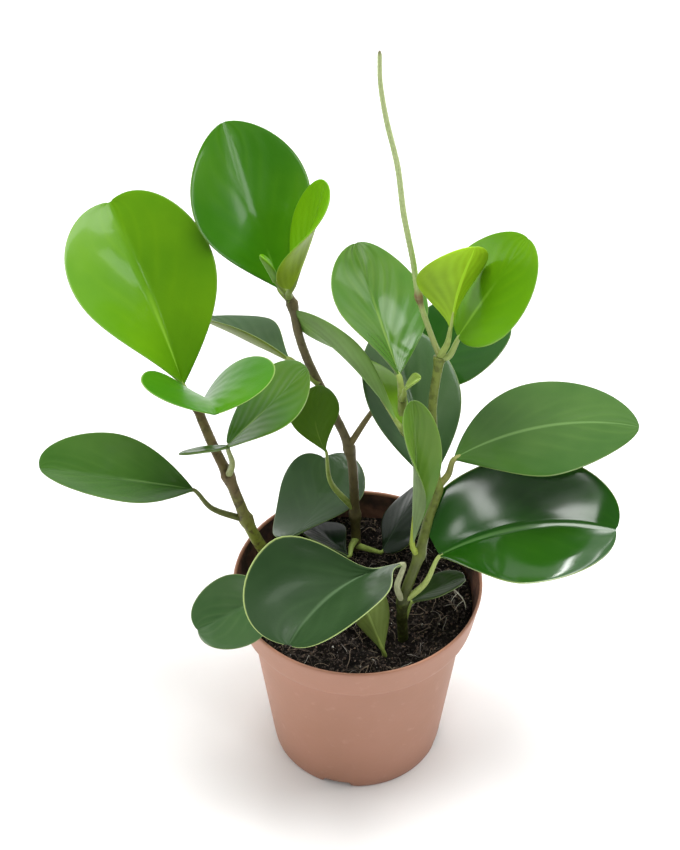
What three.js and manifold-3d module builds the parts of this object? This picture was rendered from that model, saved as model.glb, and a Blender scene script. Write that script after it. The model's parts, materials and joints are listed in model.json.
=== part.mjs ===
// A potted peperomia: a plastic pot of soil with three leafy stems and one flower spike.
// Millimetres and degrees, +Z up. The origin is the centre of the pot's underside, and the front
// view looks along +Y. A heading turns counterclockwise from +X, and a rise is above the horizon.
import * as THREE from "three";
import { mergeVertices } from "three/addons/utils/BufferGeometryUtils.js";
import Module from "manifold-3d";

const wasm = await Module();
wasm.setup();

// Pot
const POT_HEIGHT = 108;
const RIM_RADIUS = 60;
const FOOT_RADIUS = 41.6;
const COLLAR_HEIGHT = 19;
const COLLAR_DRAFT = 3.2;
const COLLAR_STEP = 4.5;
const COLLAR_SLOPE = 1.5;
const WALL = 1.4;
const FLOOR = 2;
const POT_SIDES = 48;
const NOTCH_WIDTH = 14;
const NOTCH_HEIGHT = 3;
const NOTCH_DEPTH = 3.5;
const NOTCH_HEADING = -104;
const NOTCH_COUNT = 4;
const DRAIN_RADIUS = 3;
const DRAIN_CIRCLE = 22;

// Soil
const SOIL_TOP = 94;
const SOIL_WAVE = 1.1;
const SOIL_SIDES = 40;

// Plant
const GAP = 0.3;
const BLADE_THICKNESS = 1.4;
const TIP_ROUNDNESS = 0.57;
const PETIOLE_RADIUS = 1.6;
const PETIOLE_END_RADIUS = 0.8;
const PETIOLE_SIDES = 6;
const PETIOLE_STEP = 8;
const PETIOLE_REACH = 0.12;
const NODE_SWELL = 0.7;
const NODE_HALF_LENGTH = 4;
const STEM_STEP = 5;
const STEM_SIDES = 8;
const LARGE_LEAF = 60;

// Each stem's path runs from its foot in the soil to its top. The last point of a branch is its tip.
// The places in nodes are path points where leaves grow and the stem is swollen.
const STEMS = {
  a: {
    path: [[-31, 16, 72], [-35, 15.5, 94], [-46, 14, 115], [-53, 12, 136.6], [-61, 16, 162],
      [-69, 24, 178], [-76, 31, 196]],
    nodes: [3, 4, 6],
    foot: 3.2,
    top: 2.3,
  },
  b: {
    path: [[0, 33, 70], [-0.5, 33.6, 94], [-1.2, 34, 117], [-4, 38.5, 157.5], [-13, 44.5, 180],
      [-23.5, 52, 202.5], [-28, 55.5, 217], [-30.5, 58, 232], [-33, 58.5, 240]],
    nodes: [2, 3, 7],
    foot: 2.5,
    top: 2,
  },
  c: {
    path: [[21.5, -26, 72], [21.5, -26.4, 94], [21, -27, 122], [28, -25, 152], [32, -18, 169],
      [35.7, -12, 183], [29, -4.5, 197], [20.7, -2, 211], [19.2, 3, 227]],
    nodes: [2, 3, 5, 7],
    foot: 2.7,
    top: 2,
  },
  fork: {
    path: [[35.7, -12, 182], [34.8, -2, 197], [33.2, 4, 218], [36, 12, 241.6]],
    nodes: [0, 3],
    foot: 1.9,
    top: 2.1,
  },
};

const SPIKE_PATH = [[36, 12, 241.6], [31, 14, 256], [26, 16, 273.5], [23, 17, 294], [18.7, 18, 318],
  [15.6, 18, 344], [10.5, 16, 370], [7.8, 14, 390], [7.3, 12, 407]];
const SPIKE_RADIUS = 1.4;
const SPIKE_TIP_RADIUS = 0.8;
const SPIKE_NODE = 2;

// Each leaf: the petiole's points from its stem to the blade's base, then the blade. Along the
// midrib the direction turns by -droop and by sweep, and the blade rolls by twist. Both halves are
// folded up by fold at the base and foldEnd at the tip, and cup bends them further towards the
// margin. widest is the share of the length where the blade is widest, fullness shapes its base,
// notch is how far the tip's sides run past the midrib, and skew makes the left half fuller.
const LEAVES = {
  a_top: {
    petiole: [[-75, 30.5, 194]], base: [-81, 33, 204], heading: 122, rise: 53, droop: 18, roll: 2,
    twist: -27, sweep: -2, length: 92, width: 74, fold: 39, foldEnd: 8, cup: 13, widest: 0.56,
    fullness: 0.83, notch: 0.13, skew: 0,
  },
  a_front: {
    petiole: [[-75.5, 30.5, 195]], base: [-72, 28, 198], heading: -78, rise: 50, droop: 22, roll: 5,
    twist: -6, sweep: -5, length: 72, width: 66, fold: 50, foldEnd: 10, cup: 5, widest: 0.66,
    fullness: 0.35, notch: 0, skew: 0.18,
  },
  a_mid: {
    petiole: [[-61, 16, 162], [-58.5, 10, 177]], base: [-60, 8, 190], heading: 26, rise: 35,
    droop: -9, roll: -24, twist: 19, sweep: -5, length: 52, width: 47, fold: 11, foldEnd: -8, cup: 9,
    widest: 0.58, fullness: 0.44, notch: 0.01, skew: 0,
  },
  a_left: {
    petiole: [[-53, 12, 136.6], [-69, 11, 145.5]], base: [-77, 10, 159], heading: 187, rise: 18,
    droop: -9, roll: -4, twist: 5, sweep: 11, length: 76, width: 48, fold: 19, foldEnd: 8, cup: 12,
    widest: 0.52, fullness: 0.86, notch: 0.08, skew: 0,
  },
  a_inner: {
    petiole: [[-43, 14.5, 109], [-39, 13.5, 117]], base: [-34, 14, 121], heading: 54, rise: -25,
    droop: -60, roll: -24, twist: 14, sweep: 35, length: 58, width: 45, fold: 5, foldEnd: -5,
    cup: -5, widest: 0.66, fullness: 0.78, notch: 0.24, skew: -0.69,
  },
  a_low: {
    petiole: [[-40, 14.7, 103], [-42, 1, 113]], base: [-39, -16, 120], heading: 231, rise: 12,
    droop: 4, roll: -40, twist: 6, sweep: -13, length: 50, width: 37, fold: 31, foldEnd: 7, cup: 13,
    widest: 0.58, fullness: 0.87, notch: 0.2, skew: 0,
  },
  b_top: {
    petiole: [[-31, 57.3, 235]], base: [-36, 62, 238], heading: 125, rise: 58, droop: 0, roll: -11,
    twist: 2, sweep: 2, length: 82, width: 58, fold: 3, foldEnd: 0, cup: 11, widest: 0.55,
    fullness: 0.86, notch: 0, skew: 0,
  },
  b_young: {
    petiole: [[-32, 57.8, 237], [-32, 56, 241]], base: [-31, 52.5, 246], heading: 43, rise: 59,
    droop: -14, roll: -57, twist: 37, sweep: -2, length: 55, width: 34, fold: 51, foldEnd: -2,
    cup: 8, widest: 0.59, fullness: 0.55, notch: 0.05, skew: 0.6,
  },
  b_bud: {
    petiole: [[-33, 58.5, 239]], base: [-38, 56, 248], heading: 200, rise: 68, droop: 0, roll: 0,
    twist: 0, sweep: 0, length: 19, width: 9, fold: 30, foldEnd: 30, cup: 10, widest: 0.5,
    fullness: 0.9, notch: 0, skew: 0,
  },
  b_left: {
    petiole: [[-18.5, 47.5, 192], [-27, 51, 199]], base: [-32, 52, 204], heading: 141, rise: -9,
    droop: -8, roll: 25, twist: 5, sweep: -3, length: 54, width: 38, fold: 39, foldEnd: 4, cup: 12,
    widest: 0.58, fullness: 0.9, notch: 0, skew: 0,
  },
  b_mid: {
    petiole: [[-1.5, 34.3, 121], [-13, 34, 140]], base: [-15, 36, 158], heading: 165, rise: 65,
    droop: -42, roll: -71, twist: 6, sweep: 5, length: 44, width: 24, fold: -9, foldEnd: 2, cup: 11,
    widest: 0.6, fullness: 0.88, notch: 0.04, skew: 0,
  },
  b_back: {
    petiole: [[-4.5, 38.8, 159], [6.6, 42, 179], [16, 48, 187.6]], base: [20, 50, 188], heading: 20,
    rise: 37, droop: 18, roll: 15, twist: -2, sweep: -2, length: 59, width: 47, fold: 8, foldEnd: 9,
    cup: 12, widest: 0.54, fullness: 0.88, notch: 0.17, skew: 0,
  },
  b_low_left: {
    petiole: [[-0.6, 33.7, 101], [-3, 24, 105]], base: [-4, 14, 109], heading: 134, rise: 3, droop: 15,
    roll: 11, twist: 10, sweep: -8, length: 31, width: 25, fold: 22, foldEnd: 2, cup: 12,
    widest: 0.61, fullness: 0.89, notch: 0.05, skew: -0.23,
  },
  b_low_right: {
    petiole: [[-0.5, 33.6, 96], [6, 26, 101]], base: [12, 18, 108], heading: 53, rise: 32, droop: 14,
    roll: -22, twist: -23, sweep: 5, length: 42, width: 34, fold: -10, foldEnd: -7, cup: 10,
    widest: 0.51, fullness: 0.87, notch: 0.05, skew: 0.49,
  },
  c_front: {
    petiole: [[21, -27, 122], [18, -30, 136]], base: [21, -28, 149], heading: 217, rise: 27,
    droop: 31, roll: -27, twist: 36, sweep: 28, length: 86, width: 74, fold: 38, foldEnd: 8,
    cup: 37, widest: 0.66, fullness: 1.7, notch: 0.21, skew: -0.49,
  },
  c_lower_right: {
    petiole: [[21, -27, 122], [31, -29, 137]], base: [37, -28, 154], heading: 9, rise: 32, droop: 35,
    roll: 21, twist: 7, sweep: -22, length: 84, width: 66, fold: 24, foldEnd: 11, cup: 8,
    widest: 0.51, fullness: 0.61, notch: 0.13, skew: -0.61,
  },
  c_upper_right: {
    petiole: [[35.7, -12, 183], [40.6, -9, 188]], base: [43, -8, 197], heading: 23, rise: 19,
    droop: 24, roll: 3, twist: -6, sweep: -33, length: 87, width: 61, fold: -7, foldEnd: -5, cup: 10,
    widest: 0.52, fullness: 0.86, notch: 0, skew: 0,
  },
  c_right: {
    petiole: [[28, -25, 151]], base: [25, -26, 158], heading: 84, rise: 74, droop: 3, roll: 92,
    twist: -90, sweep: 18, length: 75, width: 25, fold: 80, foldEnd: 16, cup: 19, widest: 0.63,
    fullness: 0.88, notch: 0.05, skew: 0,
  },
  c_far: {
    petiole: [[34.8, -13.5, 180]], base: [33, -2.3, 176.6], heading: 106, rise: 38, droop: 17, roll: 3,
    twist: -2, sweep: -1, length: 75, width: 48, fold: 21, foldEnd: 8, cup: 12, widest: 0.53,
    fullness: 0.83, notch: 0.13, skew: 0,
  },
  c_left: {
    petiole: [[21, -2.2, 209]], base: [19.7, -7, 215], heading: 120, rise: 17, droop: 24, roll: 39,
    twist: 41, sweep: 13, length: 84, width: 30, fold: 71, foldEnd: -10, cup: 4, widest: 0.52,
    fullness: 1.3, notch: 0.15, skew: 0.6,
  },
  c_top: {
    petiole: [[19.3, 2.3, 225.5]], base: [18, 6, 235], heading: 112, rise: 26, droop: -24, roll: 20,
    twist: 4, sweep: 2, length: 64, width: 53, fold: 29, foldEnd: -9, cup: 11, widest: 0.54,
    fullness: 0.91, notch: 0.05, skew: 0,
  },
  c_bud: {
    petiole: [[19.4, 2, 225], [20, -3, 233]], base: [20, -6, 239], heading: -15, rise: 50, droop: 0,
    roll: 0, twist: 0, sweep: 0, length: 11, width: 9, fold: 20, foldEnd: 20, cup: 10, widest: 0.55,
    fullness: 0.9, notch: 0, skew: 0,
  },
  c_low: {
    petiole: [[21.3, -26.6, 108]], base: [25, -22, 116], heading: 11, rise: 30, droop: 13, roll: -8,
    twist: -3, sweep: 1, length: 28, width: 17, fold: 9, foldEnd: 11, cup: 12, widest: 0.57,
    fullness: 0.87, notch: 0.14, skew: 0,
  },
  c_down: {
    petiole: [[16, -31, 80], [13.5, -35, 90]], base: [12, -36, 97], heading: 131, rise: 62,
    droop: 13, roll: 140, twist: -8, sweep: 2, length: 42, width: 22, fold: 24, foldEnd: 14,
    cup: 13, widest: 0.56, fullness: 0.86, notch: 0.16, skew: 0,
  },
  d_right: {
    petiole: [[36, 12, 241.6], [39.6, 11, 242.5]], base: [44, 12, 253], heading: 16, rise: 61,
    droop: 13, roll: 2, twist: 2, sweep: 18, length: 56, width: 51, fold: 5, foldEnd: -4, cup: 11,
    widest: 0.42, fullness: 0.86, notch: 0.08, skew: 0,
  },
  d_young: {
    petiole: [[36, 12, 241.6], [39, 9.5, 252]], base: [40, 8, 263], heading: 38, rise: 87, droop: 26,
    roll: 251, twist: 26, sweep: -3, length: 42, width: 40, fold: 44, foldEnd: -3, cup: 12,
    widest: 0.6, fullness: 0.9, notch: 0.06, skew: 0,
  },
};

// The second half of leaf A mid, which is folded away from the first and seen from its edge.
const SIDE_LOBES = {
  a_mid: {
    base: [-59, 8, 189.5], heading: 192, rise: 0, droop: 0, roll: 34, twist: 0, sweep: 0, length: 24,
    width: 14, fold: 0, foldEnd: 0, cup: 8, widest: 0.5, fullness: 0.7, notch: 0, skew: 0,
  },
};

const BESIDE = {
  a_front: "a_top",
  b_young: "b_top",
  b_bud: "b_young",
  b_low_right: "b_low_left",
  c_bud: "c_top",
  d_young: "d_right",
};

const YOUNG_LEAVES = ["a_top", "a_front", "b_young", "b_bud", "c_bud", "d_right", "d_young"];
const DARK_LEAVES = ["a_inner", "b_left", "b_back", "b_low_left", "b_low_right", "c_far", "c_low"];

const POT_FINISH = { color: 0xb0806c, roughness: 0.5 };
const SOIL_FINISH = { color: 0x2c2421, roughness: 0.95 };
const STEM_A_FINISH = { color: 0x6b6236, roughness: 0.5 };
const STEM_B_FINISH = { color: 0x6f4a38, roughness: 0.5 };
const STEM_C_FINISH = { color: 0x7d8a45, roughness: 0.5 };
const SPIKE_FINISH = { color: 0xb5cc7c, roughness: 0.6 };
const YOUNG_FINISH = { color: 0x6bab1f, roughness: 0.3 };
const GREEN_FINISH = { color: 0x33792a, roughness: 0.28 };
const DARK_FINISH = { color: 0x2b4f38, roughness: 0.3 };

const radians = THREE.MathUtils.degToRad;
const lerp = THREE.MathUtils.lerp;

// Closed surfaces and booleans

function closedGeometry(points, faces) {
  const geometry = new THREE.BufferGeometry();
  const numbers = points.flatMap((p) => p.toArray());
  geometry.setAttribute("position", new THREE.Float32BufferAttribute(numbers, 3));
  geometry.setIndex(faces);
  return geometry;
}

function solid(geometry) {
  const bare = geometry.clone();
  bare.deleteAttribute("normal");
  bare.deleteAttribute("uv");
  const merged = mergeVertices(bare, 1e-4);
  const vertProperties = new Float32Array(merged.attributes.position.array);
  const triVerts = new Uint32Array(merged.index.array);
  return new wasm.Manifold(new wasm.Mesh({ numProp: 3, vertProperties, triVerts }));
}

function geometryOf(body) {
  const { vertProperties, triVerts } = body.getMesh();
  const geometry = new THREE.BufferGeometry();
  geometry.setAttribute("position", new THREE.BufferAttribute(vertProperties, 3));
  geometry.setIndex(new THREE.BufferAttribute(triVerts, 1));
  return geometry;
}

function largestPiece(body) {
  return body.decompose().reduce((best, piece) => (piece.volume() > best.volume() ? piece : best));
}

// A LatheGeometry turns about Y, so it is laid over to turn about Z.
function lathe(profile, sides) {
  const points = profile.map(([radius, height]) => new THREE.Vector2(radius, height));
  return new THREE.LatheGeometry(points, sides).rotateX(Math.PI / 2);
}

// A tube along a smooth path, with a radius for each share of its length, closed by flat ends.
function tube(path, radiusAt, sides, step) {
  const curve = new THREE.CatmullRomCurve3(path.map((p) => new THREE.Vector3(...p)));
  const steps = Math.max(3, Math.ceil(curve.getLength() / step));
  const frames = curve.computeFrenetFrames(steps);
  const points = [];
  const faces = [];
  for (let i = 0; i <= steps; i++) {
    const centre = curve.getPointAt(i / steps);
    for (let j = 0; j < sides; j++) {
      const turn = (2 * Math.PI * j) / sides;
      const reach = radiusAt(i / steps);
      points.push(centre.clone()
        .addScaledVector(frames.normals[i], reach * Math.cos(turn))
        .addScaledVector(frames.binormals[i], reach * Math.sin(turn)));
      if (i < steps) {
        const next = (j + 1) % sides;
        const [a, b] = [i * sides + j, i * sides + next];
        faces.push(a, b, b + sides, a, b + sides, a + sides);
      }
    }
  }
  const last = steps * sides;
  for (let j = 1; j < sides - 1; j++) {
    faces.push(0, j + 1, j);
    faces.push(last, last + j, last + j + 1);
  }
  return solid(closedGeometry(points, faces));
}

// Stems

function nodeShares(path, nodes) {
  const curve = new THREE.CatmullRomCurve3(path.map((p) => new THREE.Vector3(...p)));
  const along = curve.getLengths(400);
  const total = along[400];
  return nodes.map((node) => along[Math.round((400 * node) / (path.length - 1))] / total);
}

function stemSolid({ path, nodes, foot, top }, clearance) {
  const places = nodeShares(path, nodes);
  const curve = new THREE.CatmullRomCurve3(path.map((p) => new THREE.Vector3(...p)));
  const length = curve.getLength();
  const radiusAt = (share) => {
    const swell = places.reduce((sum, place) => {
      const away = ((share - place) * length) / NODE_HALF_LENGTH;
      return sum + NODE_SWELL * Math.exp(-away * away);
    }, 0);
    return lerp(foot, top, share) + swell + clearance;
  };
  return tube(path, radiusAt, STEM_SIDES, STEM_STEP);
}

function stemC(clearance) {
  return stemSolid(STEMS.c, clearance).add(stemSolid(STEMS.fork, clearance));
}

function spikeSolid(clearance) {
  const shares = nodeShares(SPIKE_PATH, [SPIKE_NODE]);
  const radiusAt = (share) => {
    const away = (share - shares[0]) / 0.025;
    const body = lerp(SPIKE_RADIUS, SPIKE_TIP_RADIUS, share ** 4);
    return body + 0.6 * Math.exp(-away * away) + clearance;
  };
  return tube(SPIKE_PATH, radiusAt, 6, 5.5);
}

// Leaves

// The midrib's point at t, and its direction, left side and upper side there.
function midribAt(leaf, t) {
  const steps = 32;
  const point = new THREE.Vector3(...leaf.base);
  const directionAt = (u) => {
    const rise = radians(leaf.rise - leaf.droop * u);
    const heading = radians(leaf.heading + leaf.sweep * u);
    return new THREE.Vector3(
      Math.cos(rise) * Math.cos(heading), Math.cos(rise) * Math.sin(heading), Math.sin(rise));
  };
  for (let i = 0; i < steps; i++) {
    point.addScaledVector(directionAt(((i + 0.5) * t) / steps), (leaf.length * t) / steps);
  }
  const along = directionAt(t);
  const heading = radians(leaf.heading + leaf.sweep * t);
  const roll = radians(leaf.roll + leaf.twist * t);
  const left = new THREE.Vector3(-Math.sin(heading), Math.cos(heading), 0).applyAxisAngle(along, roll);
  const up = new THREE.Vector3().crossVectors(along, left);
  return { point, along, left, up };
}

// A point of the blade's middle surface: t runs from base to tip, s from -1 at the right margin to 1.
function bladePoint(leaf, t, s) {
  const { point, along, left, up } = midribAt(leaf, t);
  const side = Math.sign(s);
  const away = Math.abs(s);
  const bulge = Math.log(0.5) / Math.log(leaf.widest);
  const roundness = t < leaf.widest ? leaf.fullness * (1 + leaf.skew * side) : TIP_ROUNDNESS;
  const outline = Math.sin(Math.PI * t ** bulge) ** roundness;
  const half = (leaf.width / 2) * outline;
  const fold = radians(lerp(leaf.fold, leaf.foldEnd, t));
  const cup = radians(leaf.cup);
  const across = Math.sin(cup * away) / cup;
  const lift = (1 - Math.cos(cup * away)) / cup;
  return point
    .addScaledVector(left, half * side * (Math.cos(fold) * across - Math.sin(fold) * lift))
    .addScaledVector(up, half * (Math.sin(fold) * across + Math.cos(fold) * lift))
    .addScaledVector(along, leaf.notch * leaf.length * outline * t ** 4 * away ** 2);
}

// The blade as a grid of points, thickened to both sides, with the same diagonals on both faces.
function bladeSolid(leaf, clearance) {
  const large = leaf.length > LARGE_LEAF;
  const rows = large ? 10 : 8;
  const columns = large ? 6 : 4;
  const grid = [];
  for (let i = 0; i <= rows; i++) {
    const t = lerp(0.012, 0.998, (1 - Math.cos((Math.PI * i) / rows)) / 2);
    for (let j = 0; j <= columns; j++) {
      grid.push(bladePoint(leaf, t, Math.sin((Math.PI / 2) * ((2 * j) / columns - 1))));
    }
  }
  const quads = [];
  for (let i = 0; i < rows; i++) {
    for (let j = 0; j < columns; j++) {
      const corner = i * (columns + 1) + j;
      quads.push([corner, corner + 1, corner + columns + 2, corner + columns + 1]);
    }
  }
  const middle = quads.flatMap(([a, b, c, d]) => [a, c, b, a, d, c]);
  const sheet = closedGeometry(grid, middle);
  sheet.computeVertexNormals();
  const normals = sheet.attributes.normal;
  const half = BLADE_THICKNESS / 2 + clearance;
  const offset = (sign) => grid.map((p, i) => p.clone()
    .addScaledVector(new THREE.Vector3().fromBufferAttribute(normals, i), sign * half));
  const count = grid.length;
  const faces = [];
  for (const [a, b, c, d] of quads) {
    faces.push(a, c, b, a, d, c);
    faces.push(a + count, b + count, c + count, a + count, c + count, d + count);
  }
  const rim = [];
  for (let j = 0; j < columns; j++) rim.push(j);
  for (let i = 0; i < rows; i++) rim.push(i * (columns + 1) + columns);
  for (let j = columns; j > 0; j--) rim.push(rows * (columns + 1) + j);
  for (let i = rows; i > 0; i--) rim.push(i * (columns + 1));
  rim.forEach((a, k) => {
    const b = rim[(k + 1) % rim.length];
    faces.push(a, b, b + count, a, b + count, a + count);
  });
  return solid(closedGeometry([...offset(1), ...offset(-1)], faces));
}

// The petiole runs from the stem into the blade, and on below it as the start of the midrib.
function petioleSolid(leaf, clearance) {
  const { point, up } = midribAt(leaf, PETIOLE_REACH);
  const inBlade = point.addScaledVector(up, -BLADE_THICKNESS / 4).toArray();
  const path = [...leaf.petiole, leaf.base, inBlade];
  const radiusAt = (share) => lerp(PETIOLE_RADIUS, PETIOLE_END_RADIUS, share) + clearance;
  return tube(path, radiusAt, PETIOLE_SIDES, PETIOLE_STEP);
}

function leafSolid(name, clearance) {
  const leaf = LEAVES[name];
  const lobe = SIDE_LOBES[name];
  const body = bladeSolid(leaf, clearance).add(petioleSolid(leaf, clearance));
  return lobe ? body.add(bladeSolid(lobe, clearance)) : body;
}

// A leaf is cut clear of the leaf that it grows beside, where the two petioles leave one node.
function leafBesideOthers(name, standing) {
  const body = leafSolid(name, 0).subtract(standing);
  const neighbour = BESIDE[name];
  return largestPiece(neighbour ? body.subtract(leafSolid(neighbour, GAP)) : body);
}

// Pot and soil

const collarBottom = POT_HEIGHT - COLLAR_HEIGHT;
const collarRadius = RIM_RADIUS - COLLAR_DRAFT;
const bodyTopRadius = collarRadius - COLLAR_STEP;

function outerProfile() {
  const bevel = 1.2;
  return [
    [FOOT_RADIUS - bevel, 0],
    [FOOT_RADIUS, bevel],
    [bodyTopRadius, collarBottom - COLLAR_SLOPE],
    [collarRadius, collarBottom],
    [RIM_RADIUS, POT_HEIGHT - 0.7],
    [RIM_RADIUS - 0.4, POT_HEIGHT],
  ];
}

// The inside of the pot, drawn in by a clearance. The collar's step shows on the inside too.
function innerProfile(clearance) {
  const inset = WALL + clearance;
  const raised = collarBottom + 0.72 * inset;
  return [
    [FOOT_RADIUS - 0.6 - inset, FLOOR + clearance],
    [bodyTopRadius - inset, raised - COLLAR_SLOPE],
    [collarRadius - inset, raised],
    [RIM_RADIUS - inset, POT_HEIGHT],
  ];
}

// The blocks that raise the foot into notches, grown by a margin.
function footNotches(margin) {
  const blocks = [];
  for (let k = 0; k < NOTCH_COUNT; k++) {
    const heading = radians(NOTCH_HEADING + (360 / NOTCH_COUNT) * k);
    const inside = FOOT_RADIUS - NOTCH_DEPTH - margin;
    const outside = FOOT_RADIUS + 8;
    const top = NOTCH_HEIGHT + margin;
    const bottom = -1;
    const width = NOTCH_WIDTH + 2 * margin;
    const block = new THREE.BoxGeometry(outside - inside, width, top - bottom);
    block.translate((inside + outside) / 2, 0, (top + bottom) / 2);
    block.rotateZ(heading);
    blocks.push(solid(block));
  }
  return blocks.reduce((all, block) => all.add(block));
}

function drainHoles() {
  const holes = [];
  for (let k = 0; k < NOTCH_COUNT; k++) {
    const heading = radians(NOTCH_HEADING + (360 / NOTCH_COUNT) * (k + 0.5));
    const hole = new THREE.CylinderGeometry(DRAIN_RADIUS, DRAIN_RADIUS, 4 * FLOOR, 10);
    const [x, y] = [DRAIN_CIRCLE * Math.cos(heading), DRAIN_CIRCLE * Math.sin(heading)];
    hole.rotateX(Math.PI / 2).translate(x, y, 0);
    holes.push(solid(hole));
  }
  return holes.reduce((all, hole) => all.add(hole));
}

function potSolid() {
  const outer = solid(lathe([[0, 0], ...outerProfile(), [0, POT_HEIGHT]], POT_SIDES));
  const inner = innerProfile(0);
  const [mouthRadius] = inner.at(-1);
  const cavityTop = POT_HEIGHT + 5;
  const cavity = lathe([[0, FLOOR], ...inner, [mouthRadius, cavityTop], [0, cavityTop]], POT_SIDES);
  const hollow = solid(cavity).subtract(footNotches(WALL));
  return outer.subtract(footNotches(0)).subtract(hollow).subtract(drainHoles());
}

function soilWave(x, y) {
  const long = Math.sin(0.17 * x + 1) * Math.cos(0.14 * y);
  const short = Math.sin(0.31 * y + 0.2 * x);
  return SOIL_WAVE * (long + 0.6 * short);
}

function soilSolid(standing) {
  const wall = innerProfile(GAP);
  const [low, high] = wall.slice(-2);
  const edge = SOIL_TOP - 1;
  const edgeRadius = lerp(low[0], high[0], (edge - low[1]) / (high[1] - low[1]));
  const side = [[0, wall[0][1]], ...wall.slice(0, -1), [edgeRadius, edge]];
  const top = [54, 46, 37, 28, 19, 10, 0].map((radius) => [radius, SOIL_TOP]);
  const geometry = lathe([...side, ...top], SOIL_SIDES);
  const position = geometry.attributes.position;
  for (let i = 0; i < position.count; i++) {
    if (position.getZ(i) > edge + 0.5) {
      position.setZ(i, SOIL_TOP + soilWave(position.getX(i), position.getY(i)));
    }
  }
  return solid(geometry).subtract(footNotches(WALL + GAP)).subtract(standing);
}

// Assembly

const part = new THREE.Group();

function place(name, body, finish) {
  const material = new THREE.MeshStandardMaterial({ ...finish, metalness: 0 });
  const mesh = new THREE.Mesh(geometryOf(body), material);
  mesh.name = name;
  part.add(mesh);
}

function leafFinish(name) {
  if (YOUNG_LEAVES.includes(name)) return YOUNG_FINISH;
  return DARK_LEAVES.includes(name) ? DARK_FINISH : GREEN_FINISH;
}

const stemHoles = stemSolid(STEMS.a, GAP).add(stemSolid(STEMS.b, GAP)).add(stemC(GAP));
const soilHoles = stemHoles.add(leafSolid("c_down", GAP));
const standing = stemHoles.add(spikeSolid(GAP));

place("pot", potSolid(), POT_FINISH);
place("soil", largestPiece(soilSolid(soilHoles)), SOIL_FINISH);
place("stem_a", stemSolid(STEMS.a, 0), STEM_A_FINISH);
place("stem_b", stemSolid(STEMS.b, 0), STEM_B_FINISH);
place("stem_c", stemC(0), STEM_C_FINISH);
place("flower_spike", largestPiece(spikeSolid(0).subtract(stemHoles)), SPIKE_FINISH);
for (const name of Object.keys(LEAVES)) {
  place(`leaf_${name}`, leafBesideOthers(name, standing), leafFinish(name));
}

export default part;
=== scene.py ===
import json
import math
import random

import bpy
from mathutils import Matrix, Vector, noise


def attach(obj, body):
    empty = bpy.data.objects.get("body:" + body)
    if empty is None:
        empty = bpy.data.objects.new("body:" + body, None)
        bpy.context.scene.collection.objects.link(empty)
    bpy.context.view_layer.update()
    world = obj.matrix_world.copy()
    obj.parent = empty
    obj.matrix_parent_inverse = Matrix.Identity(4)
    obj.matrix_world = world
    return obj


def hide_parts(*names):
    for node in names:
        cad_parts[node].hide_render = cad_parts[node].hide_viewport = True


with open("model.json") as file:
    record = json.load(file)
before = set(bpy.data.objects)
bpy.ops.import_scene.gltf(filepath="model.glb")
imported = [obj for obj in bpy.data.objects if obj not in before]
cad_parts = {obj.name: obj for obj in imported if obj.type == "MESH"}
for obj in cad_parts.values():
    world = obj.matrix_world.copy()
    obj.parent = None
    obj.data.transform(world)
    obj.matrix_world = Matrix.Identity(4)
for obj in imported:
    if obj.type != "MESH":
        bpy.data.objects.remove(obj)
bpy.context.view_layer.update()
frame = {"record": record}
slot_of = {row["node"]: row["material_slot"] for row in frame["record"]["subparts"]}

# Lengths are in millimetres and angles in degrees until a mesh is made, as in the part's source.
# The lights, the camera and the materials' bumps are in metres, and the materials' noise scales
# are per metre.
MM = 0.001

# Leaf blades and petioles
RIB_STEPS = 96
BLADE_START = 0.008
BLADE_END = 0.9985
WAVE_HEIGHT = 0.5
WAVE_SEED_STEP = 3.7
TIP_ROUNDNESS = 0.57
HALF_THICKNESS = 0.72
EDGE_THICKNESS = 0.05
GROOVE_DEPTH = 0.2
GROOVE_WIDTH = 1.3
LARGE_LEAF = 45
LARGE_GRID = (56, 32)
SMALL_GRID = (36, 22)
PETIOLE_REACH = 0.22
PETIOLE_RADII = (1.75, 0.5)
PETIOLE_SIDES = 12
PETIOLE_STEP = 1.6
PETIOLE_FADE = 14
PETIOLE_FRECKLES = 0.3
VEIN_COUNT = 5
VEIN_SLANT = 0.7

# Pot and soil
POT_HEIGHT = 108
RIM_RADIUS = 60
LIP_HEIGHT = 1.6
FOOT_RADIUS = 41.6
FOOT_ROUNDING = 1.2
FOOT_RING_WIDTH = 7
COLLAR_RADIUS = 56.8
COLLAR_BOTTOM = 89
COLLAR_SLOPE = 1.5
BODY_TOP_RADIUS = 52.3
WALL = 1.4
POT_FLOOR = 2
POT_SIDES = 192
NOTCH_HEADING = -104
NOTCH_COUNT = 4
NOTCH_HALF_WIDTH = 7
NOTCH_HEIGHT = 3
SOIL_TOP = 94
SOIL_RADIUS = 55.5
SOIL_WAVE = 1.1
SOIL_FADE = 3
SOIL_RINGS = 76
SOIL_SIDES = 176
# Radius and height of the soil's wall, from under its surface down to the pot's floor
SOIL_WALL = [(55, 90.3), (50.5, 88.7), (39.2, 2.4)]
# Where stems and petioles leave the soil, and how far crumbs and fibres keep from them
SOIL_HOLES = [(-35, 15.5), (-0.5, 33.6), (21.5, -26.4), (14, -34)]
HOLE_CLEARANCE = 4
CRUMB_SEED = 11
FIBRE_SEED = 23
ROOT_PATH = [(43, 9, 95.5), (45.7, 3, 98.5), (48.4, -1, 99), (51.2, -4.5, 97.5), (52.4, -8, 94.8)]
TWIG_LEANS = (0.4, -0.7, -0.9)

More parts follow.
